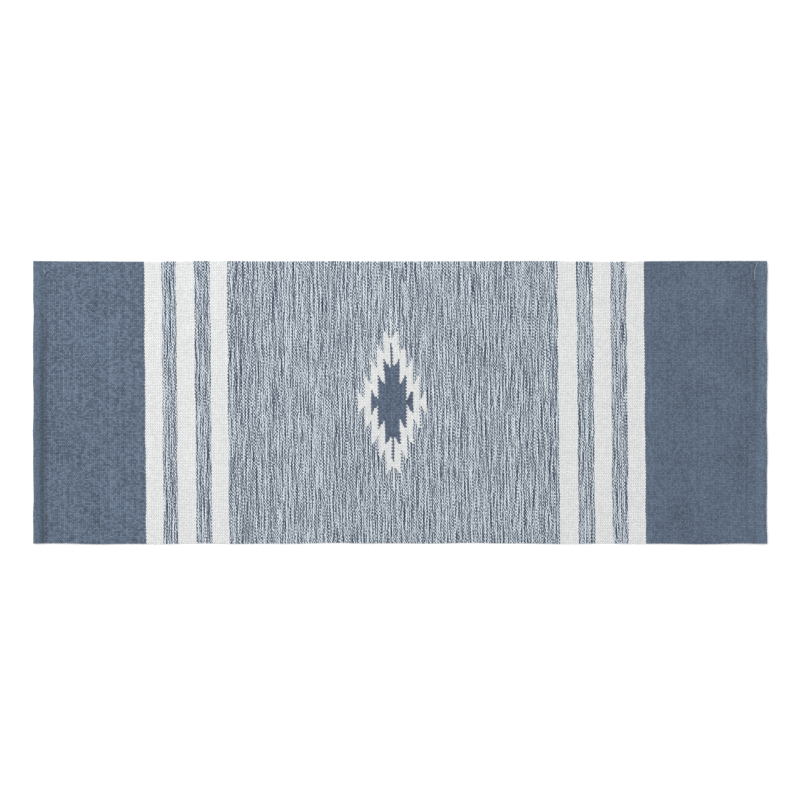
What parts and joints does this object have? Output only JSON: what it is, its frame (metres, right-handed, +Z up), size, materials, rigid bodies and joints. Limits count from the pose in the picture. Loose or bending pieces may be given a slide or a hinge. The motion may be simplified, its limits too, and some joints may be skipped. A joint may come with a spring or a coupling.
{
  "type": "runner rug",
  "caption": "Long flat-woven rug with plain end blocks, groups of cross stripes, a mottled middle field with a stepped medallion, and a turned, stitched hem at each end.",
  "frame": {"origin": "on the floor, under the middle of the rug", "axes": "+X along the rug's length towards the longer blue end block, +Y across it, +Z up"},
  "size_m": [1.82, 0.7, 0.0047],
  "materials": {
    "blue_weft": "matte cotton yarn, dusty blue",
    "hem_weft": "matte cotton yarn, dusty blue, a little lighter",
    "white_weft": "matte cotton yarn, off-white",
    "marl_weft": "matte cotton yarn, one blue and one white strand plied together",
    "warp_cotton": "undyed cotton cord",
    "sewing_thread": "pale blue-grey sewing thread"
  },
  "bodies": {
    "root": {"left_hem": "hem_weft", "left_end_block": "blue_weft", "left_white_stripe_outer": "white_weft", "left_marl_stripe_outer": "marl_weft", "left_white_stripe_middle": "white_weft", "left_marl_stripe_inner": "marl_weft", "left_white_stripe_inner": "white_weft", "field_left": "marl_weft", "field_front": "marl_weft", "field_rear": "marl_weft", "field_right": "marl_weft", "medallion_white": "white_weft", "medallion_blue": "blue_weft", "right_white_stripe_inner": "white_weft", "right_marl_stripe_inner": "marl_weft", "right_white_stripe_middle": "white_weft", "right_marl_stripe_outer": "marl_weft", "right_white_stripe_outer": "white_weft", "right_end_block": "blue_weft", "right_hem": "hem_weft", "warp_cords_front": "warp_cotton", "warp_cords_middle": "warp_cotton", "warp_cords_rear": "warp_cotton", "selvedge_cord_front": "warp_cotton", "selvedge_cord_rear": "warp_cotton", "left_needle_thread": "sewing_thread", "left_bobbin_thread": "sewing_thread", "right_needle_thread": "sewing_thread", "right_bobbin_thread": "sewing_thread"}
  },
  "joints": []
}
